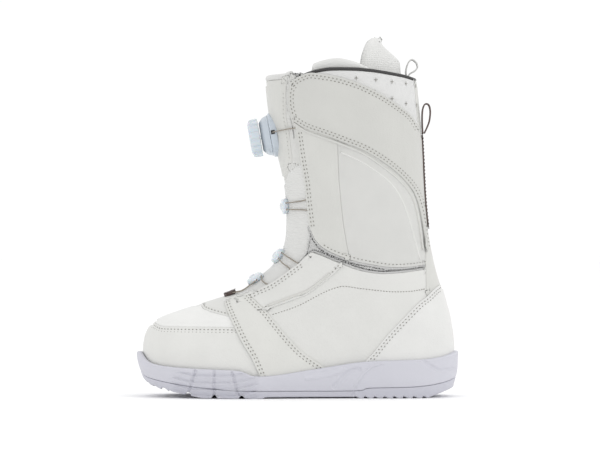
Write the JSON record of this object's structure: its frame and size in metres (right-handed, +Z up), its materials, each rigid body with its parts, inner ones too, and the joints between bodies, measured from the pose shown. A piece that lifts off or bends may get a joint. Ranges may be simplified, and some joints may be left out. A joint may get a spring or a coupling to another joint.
{
  "type": "snowboard boot",
  "caption": "Snowboard boot with a dial-wound wire lace over a hinged tongue, a stitched white upper, a removable-style padded liner and a cup sole.",
  "frame": {"origin": "on the ground, in the middle of the sole's length and of the boot's width", "axes": "+Z up, -X towards the toe, -Y towards the outer side of the foot (a left boot)"},
  "size_m": [0.289, 0.1232, 0.3204],
  "materials": {
    "sole_rubber": "moulded",
    "midsole_foam": "moulded foam",
    "shank_plastic": "moulded",
    "lasting_board": "pressed fibre",
    "white_leather": "coated synthetic leather",
    "woven_textile": "woven, foam-backed",
    "collar_textile": "stitched pattern",
    "stretch_gusset": "stretch textile",
    "dark_piping": "rolled edging",
    "brown_webbing": "woven tape",
    "binding": "rolled binding",
    "reel_plastic": "translucent moulding",
    "guide_plastic": "translucent moulding",
    "black_plastic": "moulded",
    "bright_steel": "polished",
    "lace_wire": "twisted, coated",
    "liner_textile": "foam-backed knit",
    "liner_tape": "woven tape"
  },
  "bodies": {
    "boot": {"outsole": "sole_rubber", "midsole": "midsole_foam", "heel_pad": "midsole_foam", "shank": "shank_plastic", "lasting_board": "lasting_board", "toe_rand": "white_leather", "vamp_top": "white_leather", "throat_panel": "white_leather", "quarter_lateral": "white_leather", "quarter_medial": "white_leather", "cuff_front_lateral": "white_leather", "cuff_front_medial": "white_leather", "backstay": "white_leather", "forefoot_strap_lateral": "white_leather", "forefoot_strap_medial": "white_leather", "eyestay_lateral": "white_leather", "eyestay_medial": "white_leather", "heel_counter": "white_leather", "cuff_strap_lateral": "white_leather", "cuff_strap_medial": "white_leather", "cuff_side_lateral": "woven_textile", "cuff_side_medial": "woven_textile", "collar_lateral": "collar_textile", "collar_medial": "collar_textile", "ankle_gusset_lateral": "stretch_gusset", "ankle_gusset_medial": "stretch_gusset", "collar_piping": "dark_piping", "pull_strap": "brown_webbing", "vamp_loop": "brown_webbing", "lace_lateral": "lace_wire", "lace_medial": "lace_wire", "liner_lateral": "liner_textile", "liner_medial": "liner_textile", "liner_sole": "liner_textile", "liner_back_pad": "liner_textile", "footbed": "liner_textile"},
    "tongue": {"tongue_body": "collar_textile", "tongue_facing_upper": "white_leather", "tongue_facing_side_lateral": "woven_textile", "tongue_facing_side_medial": "woven_textile", "tongue_facing_lower": "woven_textile", "tongue_binding": "binding", "lace_guide_1": "guide_plastic", "lace_guide_2": "guide_plastic", "lace_guide_3": "guide_plastic", "guide_rivet_1": "bright_steel", "guide_rivet_2": "bright_steel", "guide_rivet_3": "bright_steel", "reel_base": "reel_plastic", "reel_housing": "reel_plastic"},
    "liner_tongue": {"liner_tongue": "liner_textile"},
    "reel_axle": {"reel_axle": "bright_steel"},
    "dial": {"dial_cap": "reel_plastic", "dial_grip": "reel_plastic", "pawl_disc": "black_plastic"},
    "spool": {"lace_spool": "black_plastic"},
    "pull_loop": {"pull_loop": "brown_webbing"},
    "liner_loop": {"liner_loop": "liner_tape"}
  },
  "joints": [
    {"name": "tongue_hinge", "type": "hinge", "parent": "boot", "child": "tongue", "pos_m": [-0.0566, 0, 0.093], "axis": [0, -1, 0], "range_deg": [0, 18], "deforming": ["lace_lateral", "lace_medial"]},
    {"name": "liner_tongue_hinge", "type": "hinge", "parent": "boot", "child": "liner_tongue", "pos_m": [-0.0566, 0, 0.093], "axis": [0, -1, 0], "range_deg": [0, 13.5]},
    {"name": "dial_pull", "type": "slide", "parent": "tongue", "child": "reel_axle", "axis": [-0.9848, 0, -0.1736], "range_m": [0, 0.003]},
    {"name": "dial_turn", "type": "hinge", "parent": "reel_axle", "child": "dial", "pos_m": [-0.02094, 0, 0.23509], "axis": [-0.9848, 0, -0.1736], "continuous": true},
    {"name": "spool_turn", "type": "hinge", "parent": "tongue", "child": "spool", "pos_m": [-0.02094, 0, 0.23509], "axis": [-0.9848, 0, -0.1736], "continuous": true},
    {"name": "pull_loop_hinge", "type": "hinge", "parent": "boot", "child": "pull_loop", "pos_m": [0.1133, 0, 0.236], "axis": [0, 1, 0], "range_deg": [0, 80]},
    {"name": "liner_loop_hinge", "type": "hinge", "parent": "boot", "child": "liner_loop", "pos_m": [0.0989, 0, 0.287], "axis": [0, 1, 0], "range_deg": [-18, 12]}
  ],
  "couplings": [
    {"joint": "liner_tongue_hinge", "follows": "tongue_hinge", "ratio": 0.75},
    {"joint": "spool_turn", "follows": "dial_turn", "ratio": 1}
  ]
}
